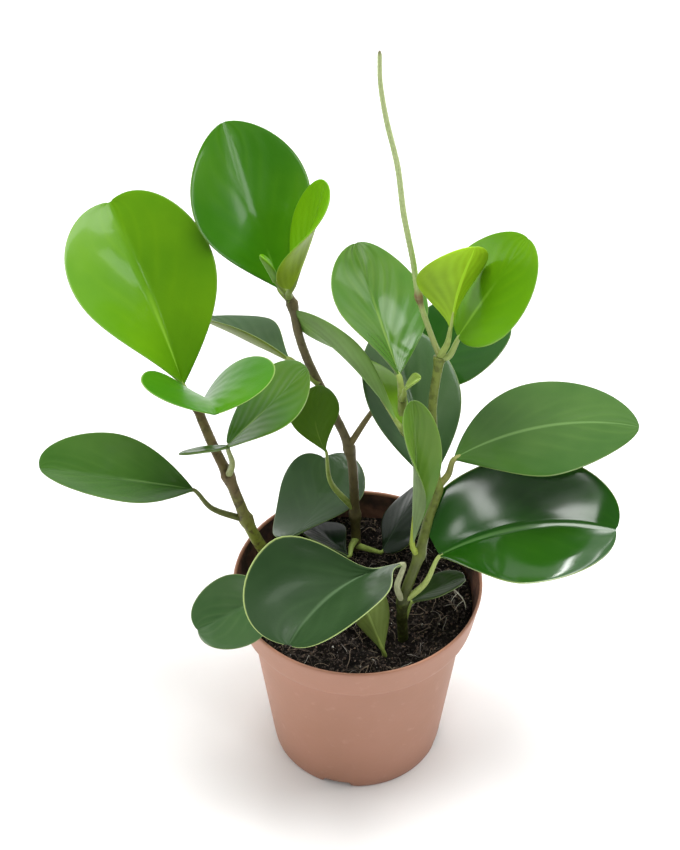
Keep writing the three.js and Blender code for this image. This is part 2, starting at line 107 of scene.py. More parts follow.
# Stems and spike
STEM_SIDES = 20
STEM_STEP = 0.9
NODE_SWELL = 0.8
NODE_LENGTH = 3.6
SCAR_SWELL = 0.25
SCAR_LENGTH = 0.7
STEM_DENTS = 0.12
STEM_GRAIN = 0.07
SPIKE_SIDES = 14
SPIKE_STEP = 0.42
SPIKE_RADII = (1.3, 0.85)
SPIKE_NODE = 2
SPIKE_NODE_SWELL = 0.7
SPIKE_NODE_LENGTH = 2.6
SPIKE_TIP_START = 0.985
GRAIN_ROW = 1.15
GRAINS_AROUND = 5
GRAIN_HEIGHT = 0.16

# The path of each part of a stem, which of its points are nodes, and its radii
STEMS = {
    "stem_a": [dict(
        path=[(-31, 16, 72), (-35, 15.5, 94), (-46, 14, 115), (-53, 12, 136.6), (-61, 16, 162),
              (-69, 24, 178), (-76, 31, 196)],
        nodes=[3, 4, 6], foot=3.2, top=2.3)],
    "stem_b": [dict(
        path=[(0, 33, 70), (-0.5, 33.6, 94), (-1.2, 34, 117), (-4, 38.5, 157.5), (-13, 44.5, 180),
              (-23.5, 52, 202.5), (-28, 55.5, 217), (-30.5, 58, 232), (-33, 58.5, 240)],
        nodes=[2, 3, 7], foot=2.5, top=2)],
    "stem_c": [dict(
        path=[(21.5, -26, 72), (21.5, -26.4, 94), (21, -27, 122), (28, -25, 152), (32, -18, 169),
              (35.7, -12, 183), (29, -4.5, 197), (20.7, -2, 211), (19.2, 3, 227)],
        nodes=[2, 3, 5, 7], foot=2.7, top=2),
        dict(
        path=[(35.7, -12, 182), (34.8, -2, 197), (33.2, 4, 218), (36, 12, 241.6)],
        nodes=[0, 3], foot=1.9, top=2.1)],
}
SPIKE_PATH = [(36, 12, 241.6), (31, 14, 256), (26, 16, 273.5), (23, 17, 294), (18.7, 18, 318),
              (15.6, 18, 344), (10.5, 16, 370), (7.8, 14, 390), (7.3, 12, 407)]

# Each leaf's petiole points and the 16 values of its blade, in the order of KEYS. The midrib
# leaves the base by heading and rise and bends by droop and sweep. The blade rolls and twists
# about it, is folded up along it and is cupped. Widest is the share of the length where the blade
# is widest, fullness shapes its base, skew makes its two sides differ there, and notch is how far
# the tip's sides run past the midrib.
LEAVES = {
    "a_top": ([(-75, 30.5, 194)], (-81, 33, 204), 122, 53, 18, 2, -27, -2, 92, 74, 39, 8, 13, 0.56,
              0.83, 0.13, 0),
    "a_front": ([(-75.5, 30.5, 195)], (-72, 28, 198), -78, 50, 22, 5, -6, -5, 72, 66, 50, 10, 5,
                0.66, 0.35, 0, 0.18),
    "a_mid": ([(-61, 16, 162), (-58.5, 10, 177)], (-60, 8, 190), 26, 35, -9, -24, 19, -5, 52, 47,
              11, -8, 9, 0.58, 0.44, 0.01, 0),
    "a_left": ([(-53, 12, 136.6), (-69, 11, 145.5)], (-77, 10, 159), 187, 18, -9, -4, 5, 11, 76, 48,
               19, 8, 12, 0.52, 0.86, 0.08, 0),
    "a_inner": ([(-43, 14.5, 109), (-39, 13.5, 117)], (-34, 14, 121), 54, -25, -60, -24, 14, 35, 58,
                45, 5, -5, -5, 0.66, 0.78, 0.24, -0.69),
    "a_low": ([(-40, 14.7, 103), (-42, 1, 113)], (-39, -16, 120), 231, 12, 4, -40, 6, -13, 50, 37,
              31, 7, 13, 0.58, 0.87, 0.2, 0),
    "b_top": ([(-31, 57.3, 235)], (-36, 62, 238), 125, 58, 0, -11, 2, 2, 82, 58, 3, 0, 11, 0.55,
              0.86, 0, 0),
    "b_young": ([(-32, 57.8, 237), (-32, 56, 241)], (-31, 52.5, 246), 43, 59, -14, -57, 37, -2, 55,
                34, 51, -2, 8, 0.59, 0.55, 0.05, 0.6),
    "b_bud": ([(-33, 58.5, 239)], (-38, 56, 248), 200, 68, 0, 0, 0, 0, 19, 9, 30, 30, 10, 0.5, 0.9,
              0, 0),
    "b_left": ([(-18.5, 47.5, 192), (-27, 51, 199)], (-32, 52, 204), 141, -9, -8, 25, 5, -3, 54, 38,
               39, 4, 12, 0.58, 0.9, 0, 0),
    "b_mid": ([(-1.5, 34.3, 121), (-13, 34, 140)], (-15, 36, 158), 165, 65, -42, -71, 6, 5, 44, 24,
              -9, 2, 11, 0.6, 0.88, 0.04, 0),
    "b_back": ([(-4.5, 38.8, 159), (6.6, 42, 179), (16, 48, 187.6)], (20, 50, 188), 20, 37, 18, 15,
               -2, -2, 59, 47, 8, 9, 12, 0.54, 0.88, 0.17, 0),
    "b_low_left": ([(-0.6, 33.7, 101), (-3, 24, 105)], (-4, 14, 109), 134, 3, 15, 11, 10, -8, 31,
                   25, 22, 2, 12, 0.61, 0.89, 0.05, -0.23),
    "b_low_right": ([(-0.5, 33.6, 96), (6, 26, 101)], (12, 18, 108), 53, 32, 14, -22, -23, 5, 42,
                    34, -10, -7, 10, 0.51, 0.87, 0.05, 0.49),
    "c_front": ([(21, -27, 122), (18, -30, 136)], (21, -28, 149), 217, 27, 31, -27, 36, 28, 86, 74,
                38, 8, 37, 0.66, 1.7, 0.21, -0.49),
    "c_lower_right": ([(21, -27, 122), (31, -29, 137)], (37, -28, 154), 9, 32, 35, 21, 7, -22, 84,
                      66, 24, 11, 8, 0.51, 0.61, 0.13, -0.61),
    "c_upper_right": ([(35.7, -12, 183), (40.6, -9, 188)], (43, -8, 197), 23, 19, 24, 3, -6, -33,
                      87, 61, -7, -5, 10, 0.52, 0.86, 0, 0),
    "c_right": ([(28, -25, 151)], (25, -26, 158), 84, 74, 3, 92, -90, 18, 75, 25, 80, 16, 19, 0.63,
                0.88, 0.05, 0),
    "c_far": ([(34.8, -13.5, 180)], (33, -2.3, 176.6), 106, 38, 17, 3, -2, -1, 75, 48, 21, 8, 12,
              0.53, 0.83, 0.13, 0),
    "c_left": ([(21, -2.2, 209)], (19.7, -7, 215), 120, 17, 24, 39, 41, 13, 84, 30, 71, -10, 4,
               0.52, 1.3, 0.15, 0.6),
    "c_top": ([(19.3, 2.3, 225.5)], (18, 6, 235), 112, 26, -24, 20, 4, 2, 64, 53, 29, -9, 11, 0.54,
              0.91, 0.05, 0),
    "c_bud": ([(19.4, 2, 225), (20, -3, 233)], (20, -6, 239), -15, 50, 0, 0, 0, 0, 11, 9, 20, 20,
              10, 0.55, 0.9, 0, 0),
    "c_low": ([(21.3, -26.6, 108)], (25, -22, 116), 11, 30, 13, -8, -3, 1, 28, 17, 9, 11, 12, 0.57,
              0.87, 0.14, 0),
    "c_down": ([(16, -31, 80), (13.5, -35, 90)], (12, -36, 97), 131, 62, 13, 140, -8, 2, 42, 22, 24,
               14, 13, 0.56, 0.86, 0.16, 0),
    "d_right": ([(36, 12, 241.6), (39.6, 11, 242.5)], (44, 12, 253), 16, 61, 13, 2, 2, 18, 56, 51,
                5, -4, 11, 0.42, 0.86, 0.08, 0),
    "d_young": ([(36, 12, 241.6), (39, 9.5, 252)], (40, 8, 263), 38, 87, 26, 251, 26, -3, 42, 40,
                44, -3, 12, 0.6, 0.9, 0.06, 0),
}
# The second half of leaf_a_mid, which is folded away from the first and seen from its edge
SIDE_LOBES = {
    "a_mid": ([], (-59, 8, 189.5), 192, 0, 0, 34, 0, 0, 24, 14, 0, 0, 8, 0.5, 0.7, 0, 0),
}
KEYS = ["petiole", "base", "heading", "rise", "droop", "roll", "twist", "sweep", "length", "width",
        "fold", "fold_end", "cup", "widest", "fullness", "notch", "skew"]

# The shades of the upper sides, each with its lighter colour, and those of the undersides
# Painted light and painted shade: each shade carries how lit or shaded its leaves are, as well as
# their own green
SHADES = {
    "lime": ((0.28, 0.56, 0.01), (0.37, 0.66, 0.01)),
    "spring": ((0.14, 0.37, 0.004), (0.22, 0.46, 0.004)),
    "fresh": ((0.09, 0.25, 0.004), (0.16, 0.34, 0.005)),
    "bright": ((0.035, 0.165, 0.003), (0.09, 0.25, 0.003)),
    "grass": ((0.05, 0.16, 0.01), (0.15, 0.25, 0.03)),
    "pale": ((0.09, 0.23, 0.02), (0.25, 0.37, 0.07)),
    "meadow": ((0.14, 0.3, 0.01), (0.21, 0.4, 0.02)),
    "straw": ((0.15, 0.24, 0.03), (0.23, 0.32, 0.05)),
    "moss": ((0.06, 0.15, 0.005), (0.1, 0.19, 0.005)),
    "mid": ((0.03, 0.1, 0.01), (0.08, 0.17, 0.03)),
    "sage": ((0.04, 0.1, 0.03), (0.12, 0.2, 0.08)),
    "deep": ((0.02, 0.05, 0.015), (0.055, 0.11, 0.04)),
    "bottle": ((0.01, 0.065, 0.003), (0.03, 0.115, 0.004)),
    # Painted shade: the near-black shades of the low leaves, which lie in the others' shadow
    "shaded": ((0.012, 0.035, 0.003), (0.025, 0.06, 0.003)),
    "shadowed": ((0.002, 0.01, 0.002), (0.004, 0.02, 0.002)),
}
# Painted light: the undersides lit and sunlit are light shining through the blade
UNDERSIDES = {
    "pale": (0.2, 0.3, 0.11), "young": (0.3, 0.45, 0.08), "dull": (0.14, 0.22, 0.08),
    "dark": (0.1, 0.17, 0.07), "lit": (0.3, 0.45, 0.01), "sunlit": (0.33, 0.58, 0.01),
    "spring": (0.15, 0.35, 0.01), "moss": (0.08, 0.16, 0.005), "olive": (0.13, 0.19, 0.01),
    "meadow": (0.15, 0.29, 0.05), "straw": (0.17, 0.24, 0.05),
}
# Each leaf's shade, its underside, how strongly the lighter colour shows and how rough its wax is
LOOKS = {
    "a_top": ("fresh", "young", 0.5, 0.32),
    "a_front": ("bright", "young", 0.4, 0.34),
    "a_mid": ("grass", "pale", 0.5, 0.34),
    "a_left": ("mid", "pale", 0.6, 0.36),
    "a_inner": ("deep", "dull", 0.4, 0.36),
    "a_low": ("sage", "pale", 0.5, 0.34),
    "b_top": ("bright", "pale", 0.4, 0.30),
    "b_young": ("spring", "lit", 0.4, 0.34),
    "b_bud": ("spring", "spring", 0.4, 0.38),
    "b_left": ("sage", "olive", 0.5, 0.36),
    "b_mid": ("moss", "moss", 0.3, 0.42),
    "b_back": ("bottle", "dull", 0.5, 0.34),
    "b_low_left": ("shadowed", "dark", 0.4, 0.38),
    "b_low_right": ("shadowed", "dark", 0.5, 0.34),
    "c_front": ("deep", "pale", 0.4, 0.34),
    "c_lower_right": ("bottle", "pale", 0.4, 0.20),
    "c_upper_right": ("mid", "pale", 0.7, 0.38),
    "c_right": ("pale", "pale", 0.5, 0.30),
    "c_far": ("sage", "dark", 0.6, 0.36),
    "c_left": ("meadow", "meadow", 0.5, 0.36),
    "c_top": ("grass", "pale", 0.5, 0.24),
    "c_bud": ("straw", "young", 0.4, 0.38),
    "c_low": ("shaded", "dull", 0.4, 0.40),
    "c_down": ("straw", "straw", 0.4, 0.40),
    "d_right": ("fresh", "young", 0.5, 0.30),
    "d_young": ("lime", "sunlit", 0.4, 0.38),
}
MARGIN_COLOUR = (0.38, 0.48, 0.16)

# What some leaves have other than the plain value: how far along the blade the pale midrib
# shows, how strong the sharp gloss is, how high the veins stand and how pale the margin is
PLAIN_RIB_REACH = 0.5
PLAIN_GLOSS = 0.25
PLAIN_VEIN_HEIGHT = 0.2
PLAIN_MARGIN = 0.25
RIB_REACH = {"a_top": 0.55, "b_top": 0.25, "c_upper_right": 1.6, "c_lower_right": 1.2, "c_top": 0.7,
             "d_right": 0.6, "a_front": 0.3, "a_inner": 0.2, "c_front": 1.1, "c_left": 0.3}
GLOSS = {"c_lower_right": 0.8, "c_top": 0.45, "b_top": 0.5, "a_top": 0.2, "c_left": 0.3,
         "b_left": 0.03, "c_front": 0.08, "a_front": 0.04, "a_left": 0.12, "c_upper_right": 0.15,
         "d_right": 0.06}
VEIN_HEIGHT = {"c_lower_right": 0.08, "c_top": 1.3, "a_mid": 0.5, "a_top": 0.08, "b_top": 0.12}
MARGINS = {"c_front": 0.8, "b_left": 0.7, "a_front": 0.5, "c_lower_right": 0.6, "a_mid": 0.4}

# Colours of the petioles, where they aren't the plain one
PLAIN_PETIOLE = (0.24, 0.32, 0.07)
PETIOLE_COLOURS = {
    "a_left": (0.13, 0.15, 0.04), "a_low": (0.12, 0.13, 0.04), "a_mid": (0.30, 0.34, 0.14),
    "b_left": (0.26, 0.33, 0.08), "b_back": (0.16, 0.13, 0.05), "c_front": (0.36, 0.38, 0.22),
    "c_lower_right": (0.34, 0.42, 0.12), "c_upper_right": (0.26, 0.27, 0.08),
    "c_right": (0.28, 0.36, 0.05), "d_right": (0.36, 0.46, 0.14), "d_young": (0.36, 0.46, 0.12),
}

# Each stem's low and high colour, the heights between which they change, and its freckles
STEM_COLOURS = {
    "stem_a": ((0.17, 0.2, 0.03), (0.15, 0.11, 0.045), 138, 168, 0.8),
    "stem_b": ((0.09, 0.075, 0.028), (0.16, 0.13, 0.065), 130, 230, 0.6),
    # Painted shade: stem_c darkens to near black towards its foot, for the shade under its leaves
    "stem_c": ((0.024, 0.03, 0.006), (0.19, 0.24, 0.05), 130, 200, 0.7),
}
STALK_ROUGHNESS = 0.42

# The spike's colours, by shares of the way between two heights
SPIKE_COLOUR_FOOT = 241
SPIKE_COLOUR_TOP = 407
SPIKE_COLOURS = [
    (0.0, (0.30, 0.33, 0.10)), (0.16, (0.36, 0.44, 0.14)), (0.185, (0.16, 0.09, 0.03)),
    (0.205, (0.20, 0.12, 0.05)), (0.23, (0.40, 0.50, 0.18)), (0.6, (0.46, 0.56, 0.24)),
    (0.985, (0.44, 0.52, 0.22)), (1.0, (0.14, 0.10, 0.06)),
]
SPIKE_SPOTS = (0.24, 0.34, 0.10)

# Pot and soil colours
POT_COLOURS = ((0.37, 0.17, 0.1), (0.41, 0.19, 0.12))
SCUFF_COLOUR = (0.56, 0.33, 0.24)
# Painted shade: a dark band between two heights, in the crease under the collar's overhang
COLLAR_SHADE_COLOUR = (0.22, 0.10, 0.07)
COLLAR_SHADE_BOTTOM = 87.2
COLLAR_SHADE_TOP = 89.4
# Painted shade: the inside is darker than the outer plastic, for the shade in the pot's hollow, with
# darker patches at random
POT_INSIDE_COLOURS = ((0.16, 0.075, 0.05), (0.045, 0.026, 0.02))
SOIL_COLOURS = ((0.002, 0.0015, 0.001), (0.011, 0.008, 0.006))
GRIT_COLOUR = (0.15, 0.11, 0.085)
ROOT_COLOURS = ((0.62, 0.60, 0.52), (0.42, 0.38, 0.3))
PAPER_COLOURS = ((0.97, 0.97, 0.97), (0.955, 0.955, 0.95))

# Name, count, sizes, dark and light colour and roughness of the crumbs
CRUMBS = [
    ("soil_crumbs_dark", 3600, (0.35, 1.1), (0.018, 0.013, 0.010), (0.05, 0.035, 0.026), 0.9),
    ("soil_crumbs_brown", 700, (0.3, 1.0), (0.07, 0.045, 0.03), (0.14, 0.09, 0.06), 0.9),
    ("soil_crumbs_pale", 110, (0.25, 0.75), (0.32, 0.30, 0.26), (0.5, 0.48, 0.44), 0.8),
]
# Name, count, lengths, radii, dark and light colour of the fibres
FIBRES = [
    ("soil_fibres_dark", 240, (4, 13), (0.12, 0.3), (0.03, 0.021, 0.015), (0.07, 0.05, 0.035)),
    ("soil_fibres_brown", 130, (5, 14), (0.12, 0.26), (0.12, 0.085, 0.06), (0.22, 0.17, 0.12)),
    ("soil_fibres_grey", 60, (4, 11), (0.1, 0.22), (0.24, 0.22, 0.19), (0.38, 0.35, 0.31)),
]

# Name, place, target, size and watts of the lights. The small windows stand where the leaves
# mirror them into the camera at the highlights of the photo.
LIGHTS = [
    ("window_left", (-0.439, -1.211, 1.117), (0.056, -0.015, 0.177), (0.15, 0.09), 0.5),
    ("window_corner", (-0.551, -1.26, 0.977), (0.056, -0.015, 0.177), (0.1, 0.07), 0.2),
    ("window_top", (-0.233, -1.013, 1.393), (0.088, -0.025, 0.176), (0.17, 0.13), 0.9),
    ("window_side", (-1.5, 0.1, 0.5), (0, 0, 0.1), (1, 0.6), 8),
    ("ceiling", (0, 0.05, 2.3), (0, 0, 0.2), (1.2, 1.2), 48),
    ("window_right", (1.025, -0.06, 1.666), (0, 0.03, 0.25), (0.28, 0.8), 5.5),
    ("window_low", (1.0, -0.95, 0.85), (-0.06, 0.08, 0.28), (0.25, 0.5), 2.4),
    ("window_far", (1.483, 0.475, 0.681), (0.02, 0, 0.24), (0.45, 0.22), 0.8),
    ("window_back", (0.14, 0.73, 1.57), (0.099, -0.046, 0.172), (0.12, 0.05), 0.8),
]
ROOM_STRENGTH = 0.12
BACKDROP_STRENGTH = 1.3
PAPER_HALF_WIDTH = 4000
CAMERA_PLACE = (-0.0085, -0.7913, 0.9751)
CAMERA_TILT = 46
CAMERA_LENS = 103.25
CAMERA_SENSOR = 36


# Materials

def new_material(name, roughness):
    material = bpy.data.materials.new(name)
    material.use_nodes = True
    tree = material.node_tree
    shader = tree.nodes["Principled BSDF"]
    shader.inputs["Roughness"].default_value = roughness
    return material, tree, shader


def add(tree, kind, **settings):
    node = tree.nodes.new(kind)
    for key, value in settings.items():
        setattr(node, key, value)
    return node


def math_node(tree, operation, a, b=None, clamp=False):
    node = add(tree, "ShaderNodeMath", operation=operation, use_clamp=clamp)
    for slot, value in zip(node.inputs, (a, b)):
        if value is None:
            continue
        if isinstance(value, (int, float)):
            slot.default_value = value
        else:
            tree.links.new(value, slot)
    return node.outputs[0]


def times(tree, a, b):
    return math_node(tree, "MULTIPLY", a, b)


def mix_colour(tree, factor, a, b):
    node = add(tree, "ShaderNodeMix", data_type="RGBA")
    for slot, value in ((node.inputs[0], factor), (node.inputs[6], a), (node.inputs[7], b)):
        if isinstance(value, (int, float, tuple)):
            slot.default_value = value
        else:
            tree.links.new(value, slot)
    return node.outputs[2]


def map_range(tree, value, low, high, to_low=0.0, to_high=1.0):
    node = add(tree, "ShaderNodeMapRange")
    node.inputs["From Min"].default_value = low
    node.inputs["From Max"].default_value = high
    node.inputs["To Min"].default_value = to_low
    node.inputs["To Max"].default_value = to_high
    tree.links.new(value, node.inputs["Value"])
    return node.outputs[0]


def separate(tree, vector):
    node = add(tree, "ShaderNodeSeparateXYZ")
    tree.links.new(vector, node.inputs[0])
    return node.outputs


def noise_value(tree, vector, scale, detail=3.0, low=0.35, high=0.65):
    texture = add(tree, "ShaderNodeTexNoise")
    texture.inputs["Scale"].default_value = scale
    texture.inputs["Detail"].default_value = detail
    tree.links.new(vector, texture.inputs["Vector"])
    return map_range(tree, texture.outputs[0], low, high)


def object_vector(tree):
    return add(tree, "ShaderNodeTexCoord").outputs["Object"]


def bump(tree, shader, height, strength, distance):
    node = add(tree, "ShaderNodeBump")
    node.inputs["Strength"].default_value = strength
    node.inputs["Distance"].default_value = distance
    tree.links.new(height, node.inputs["Height"])
    tree.links.new(node.outputs[0], shader.inputs["Normal"])


def rgba(colour):
    return (*colour, 1)


# The veins leave the midrib at a slant and turn towards the tip. The texture's u runs from base
# to tip, and its v is 0.5 on the midrib and 0 and 1 on the margins.
def vein_values(tree):
    along, across, _ = separate(tree, add(tree, "ShaderNodeUVMap", uv_map="UVMap").outputs[0])
    away = math_node(tree, "ABSOLUTE", times(tree, math_node(tree, "SUBTRACT", across, 0.5), 2))
    wobble = noise_value(tree, object_vector(tree), 60, 2, 0.0, 1.0)
    lean = times(tree, math_node(tree, "POWER", away, 0.75), VEIN_SLANT)
    phase = math_node(tree, "SUBTRACT", along, lean)
    phase = math_node(tree, "ADD", phase, times(tree, wobble, 0.07))
    wave = math_node(tree, "COSINE", times(tree, phase, 2 * math.pi * VEIN_COUNT))
    swell = math_node(tree, "ADD", times(tree, wave, 0.5), 0.5, clamp=True)
    near_margin = math_node(tree, "SUBTRACT", 1.0, math_node(tree, "POWER", away, 3), clamp=True)
    near_base = math_node(tree, "MULTIPLY", math_node(tree, "ADD", away, along), 1.2, clamp=True)
    return along, away, times(tree, swell, times(tree, near_margin, near_base))


def leaf_top_material(name, dark, light, strength, roughness):
    material, tree, shader = new_material("leaf_%s_upper" % name, roughness)
    vector = object_vector(tree)
    along, away, veins = vein_values(tree)
    patches = noise_value(tree, vector, 26, 3, 0.36, 0.7)
    colour = mix_colour(tree, times(tree, patches, strength), rgba(dark), rgba(light))
    clouds = noise_value(tree, vector, 11, 2, 0.35, 0.75)
    deep = tuple(0.6 * c for c in dark)
    colour = mix_colour(tree, times(tree, clouds, 0.5), colour, rgba(deep))
    narrow = math_node(tree, "POWER", veins, 4)
    colour = mix_colour(tree, times(tree, narrow, 0.3 * strength), colour, rgba(light))
    rib = map_range(tree, math_node(tree, "ADD", away, times(tree, along, 0.02)), 0.052, 0.02)
    reach = RIB_REACH.get(name, PLAIN_RIB_REACH)
    spent = math_node(tree, "DIVIDE", along, reach, clamp=reach < 1)
    rib_fade = math_node(tree, "SUBTRACT", 1.0, math_node(tree, "POWER", spent, 3), clamp=True)
    pale = tuple(min(1, 1.25 * c + 0.03) for c in light)
    colour = mix_colour(tree, times(tree, rib, times(tree, rib_fade, 0.75)), colour, rgba(pale))
    edge = map_range(tree, away, 0.975, 0.995)
    margin = times(tree, edge, MARGINS.get(name, PLAIN_MARGIN))
    colour = mix_colour(tree, margin, colour, rgba(MARGIN_COLOUR))
    tree.links.new(colour, shader.inputs["Base Color"])
    shader.inputs["Specular IOR Level"].default_value = 0.12
    shader.inputs["Coat Weight"].default_value = GLOSS.get(name, PLAIN_GLOSS)
    shader.inputs["Coat Roughness"].default_value = 0.1
    grain = noise_value(tree, vector, 900, 2, 0.2, 0.8)
    swell = noise_value(tree, vector, 38, 2, 0.2, 0.8)
    raised = times(tree, veins, VEIN_HEIGHT.get(name, PLAIN_VEIN_HEIGHT))
    waves = math_node(tree, "ADD", raised, times(tree, swell, 1.1))
    bump(tree, shader, math_node(tree, "ADD", times(tree, grain, 0.05), waves), 0.5, 0.0009)
    return material


def leaf_back_material(name, colour):
    material, tree, shader = new_material("leaf_%s_under" % name, 0.5)
    vector = object_vector(tree)
    _, away, veins = vein_values(tree)
    darker = tuple(0.65 * c for c in colour)
    lighter = tuple(min(1, 1.3 * c + 0.02) for c in colour)
    base = mix_colour(tree, noise_value(tree, vector, 45, 4), rgba(colour), rgba(darker))
    base = mix_colour(tree, times(tree, veins, 0.25), base, rgba(lighter))
    rib = math_node(tree, "LESS_THAN", away, 0.045)
    base = mix_colour(tree, times(tree, rib, 0.8), base, rgba(lighter))
    tree.links.new(base, shader.inputs["Base Color"])
    shader.inputs["Specular IOR Level"].default_value = 0.25
    bump(tree, shader, noise_value(tree, vector, 700, 2, 0.2, 0.8), 0.3, 0.0002)
    return material


# A stalk that changes from its low to its high colour between two heights, with dark freckles
def stalk_material(name, low, high, bottom, top, freckle):
    material, tree, shader = new_material(name, STALK_ROUGHNESS)
    vector = object_vector(tree)
    uneven = times(tree, noise_value(tree, vector, 120, 3, 0, 1), 0.02)
    height = math_node(tree, "ADD", separate(tree, vector)[2], uneven)
    rise = map_range(tree, height, bottom * MM, top * MM)
    colour = mix_colour(tree, rise, rgba(low), rgba(high))
    spots = noise_value(tree, vector, 330, 4, 0.5, 0.64)
    dark = tuple(0.42 * c for c in high)
    colour = mix_colour(tree, times(tree, spots, freckle), colour, rgba(dark))
    streaks = noise_value(tree, vector, 140, 3, 0.5, 0.8)
    pale = tuple(min(1, 1.5 * c + 0.03) for c in low)
    colour = mix_colour(tree, times(tree, streaks, 0.35), colour, rgba(pale))
    tree.links.new(colour, shader.inputs["Base Color"])
    shader.inputs["Specular IOR Level"].default_value = 0.2
    bump(tree, shader, noise_value(tree, vector, 420, 4, 0.2, 0.8), 0.4, 0.0005)
    return material


# Two mixed colours with a fine grain
def mottled_material(name, roughness, colours, patches, grain, strength, distance):
    material, tree, shader = new_material(name, roughness)
    vector = object_vector(tree)
    dark, light = colours
    colour = mix_colour(tree, noise_value(tree, vector, patches, 3), rgba(dark), rgba(light))
    tree.links.new(colour, shader.inputs["Base Color"])
    bump(tree, shader, noise_value(tree, vector, grain, 2, 0.2, 0.8), strength, distance)
    return material


# Meshes

def lerp(a, b, t):
    return a + (b - a) * t


def polar(radius, turn):
    return radius * math.cos(turn), radius * math.sin(turn)


def mesh_object(name, points, faces, materials, slots=None, uvs=None, smooth=True):
    mesh = bpy.data.meshes.new(name)
    mesh.from_pydata([tuple(c * MM for c in p) for p in points], [], faces)
    for material in materials:
        mesh.materials.append(material)
    if uvs is not None:
        layer = mesh.uv_layers.new(name="UVMap")
        for polygon in mesh.polygons:
            for corner in polygon.loop_indices:
                layer.data[corner].uv = uvs[mesh.loops[corner].vertex_index]
    mesh.polygons.foreach_set("use_smooth", [smooth] * len(faces))
    if slots is not None:
        mesh.polygons.foreach_set("material_index", slots)
    mesh.update()
    piece = bpy.data.objects.new(name, mesh)
    bpy.context.collection.objects.link(piece)
    return piece


# Every piece belongs to the one body, and some stand in for a node of the part.
def settle(piece, slot, *nodes):
    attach(piece, "root")
    if nodes:
        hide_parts(*nodes)


# A centripetal Catmull-Rom curve through a path, with points about a step apart
def smooth_path(path, step):
    points = [Vector(p) for p in path]
    ends = [2 * points[0] - points[1], *points, 2 * points[-1] - points[-2]]
    out = []
    for i in range(1, len(ends) - 2):
        a, b, c, d = ends[i - 1:i + 3]
        spans = [max(1e-3, (q - p).length ** 0.5) for p, q in ((a, b), (b, c), (c, d))]
        count = max(2, round((c - b).length / step))
        t0, t1 = 0, spans[0]
        t2, t3 = t1 + spans[1], t1 + spans[1] + spans[2]
        for k in range(count):
            t = t1 + (t2 - t1) * k / count
            a1 = a * ((t1 - t) / (t1 - t0)) + b * ((t - t0) / (t1 - t0))
            a2 = b * ((t2 - t) / (t2 - t1)) + c * ((t - t1) / (t2 - t1))
            a3 = c * ((t3 - t) / (t3 - t2)) + d * ((t - t2) / (t3 - t2))
            b1 = a1 * ((t2 - t) / (t2 - t0)) + a2 * ((t - t0) / (t2 - t0))
            b2 = a2 * ((t3 - t) / (t3 - t1)) + a3 * ((t - t1) / (t3 - t1))
            out.append(b1 * ((t2 - t) / (t2 - t1)) + b2 * ((t - t1) / (t2 - t1)))
    out.append(points[-1])
    return out


def running_lengths(centres):
    lengths = [0.0]
    for a, b in zip(centres, centres[1:]):
        lengths.append(lengths[-1] + (b - a).length)
    return lengths


# Rings of points along a path, turned as little as they can be from one to the next.
def sweep_tube(centres, radius_at, sides, points, faces, uvs=None):
    start = len(points)
    lengths = running_lengths(centres)
    normal = Vector((0, 0, 1)).cross(centres[1] - centres[0])
    if normal.length < 1e-6:
        normal = Vector((1, 0, 0))
    last = len(centres) - 1
    for i, centre in enumerate(centres):
        ahead = (centres[min(i + 1, last)] - centres[max(i - 1, 0)]).normalized()
        normal = (normal - ahead * normal.dot(ahead)).normalized()
        other = ahead.cross(normal)
        share = lengths[i] / lengths[-1]
        for j in range(sides):
            turn = 2 * math.pi * j / sides
            reach = radius_at(share, turn, centre)
            x, y = polar(reach, turn)
            points.append(centre + normal * x + other * y)
            if uvs is not None:
                uvs.append((share, j / sides))
            if i < last:
                a, b = start + i * sides + j, start + i * sides + (j + 1) % sides
                faces.append((a, b, b + sides, a + sides))
    faces.append(tuple(start + j for j in reversed(range(sides))))
    faces.append(tuple(start + last * sides + j for j in range(sides)))


# A round tube that narrows evenly along a path
def taper(path, step, thick, thin, sides, points, faces):
    centres = smooth_path(path, step)
    sweep_tube(centres, lambda share, turn, _: lerp(thick, thin, share), sides, points, faces)


# Leaves

def leaf_values(row):
    return dict(zip(KEYS, row))


# The midrib's point, direction, left side and upper side at each share of the leaf's length
def rib_line(leaf, shares):
    point = Vector(leaf["base"])
    line = []
    for i in range(RIB_STEPS + 1):
        u = i / RIB_STEPS
        rise = math.radians(leaf["rise"] - leaf["droop"] * u)
        heading = math.radians(leaf["heading"] + leaf["sweep"] * u)
        along = Vector((math.cos(rise) * math.cos(heading), math.cos(rise) * math.sin(heading),
                        math.sin(rise)))
        roll = math.radians(leaf["roll"] + leaf["twist"] * u)
        left = Vector((-math.sin(heading), math.cos(heading), 0))
        left = Matrix.Rotation(roll, 3, along) @ left
        line.append((point.copy(), along, left, along.cross(left)))
        point += along * (leaf["length"] / RIB_STEPS)
    out = []
    for t in shares:
        place = t * RIB_STEPS
        k = min(int(place), RIB_STEPS - 1)
        a, b = line[k], line[k + 1]
        out.append(tuple(p.lerp(q, place - k) for p, q in zip(a, b)))
    return out


# The outline's share of the half width, a share t of the way from base to tip
def outline_at(leaf, t, side):
    bulge = math.log(0.5) / math.log(leaf["widest"])
    roundness = leaf["fullness"] * (1 + leaf["skew"] * side) if t < leaf["widest"] else TIP_ROUNDNESS
    return max(0.0, math.sin(math.pi * t ** bulge)) ** roundness


